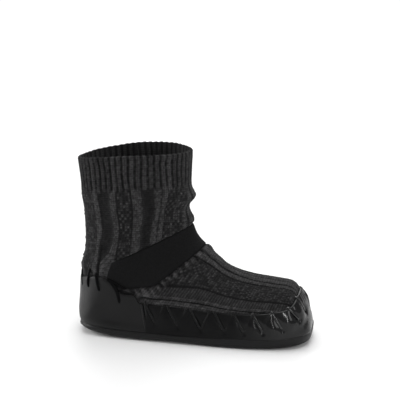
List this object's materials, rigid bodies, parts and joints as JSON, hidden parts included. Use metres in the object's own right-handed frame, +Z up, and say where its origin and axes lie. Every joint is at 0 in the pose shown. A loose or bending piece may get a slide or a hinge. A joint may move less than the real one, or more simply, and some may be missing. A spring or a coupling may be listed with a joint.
{
  "type": "slipper sock",
  "caption": "Ankle-high knitted slipper sock for the right foot, with a soft sole, a leather toe wrap and heel counter and an elastic ankle band.",
  "frame": {"origin": "on the floor, at the middle of the shoe's box in plan", "axes": "+X towards the toe, -Y towards the outer side of the foot, +Z up"},
  "size_m": [0.2532, 0.098, 0.1969],
  "materials": {
    "knit": "charcoal heather rib and moss-stitch knit",
    "band": "matte black elastic",
    "toe_leather": "glossy black soft leather",
    "heel_leather": "satin black soft leather",
    "sole": "satin black sole leather",
    "insole": "plain dark felt"
  },
  "bodies": {
    "root": {"sole": "sole", "insole": "insole", "knit_upper": "knit", "toe_wrap": "toe_leather", "heel_counter": "heel_leather", "ankle_band": "band"}
  },
  "joints": []
}
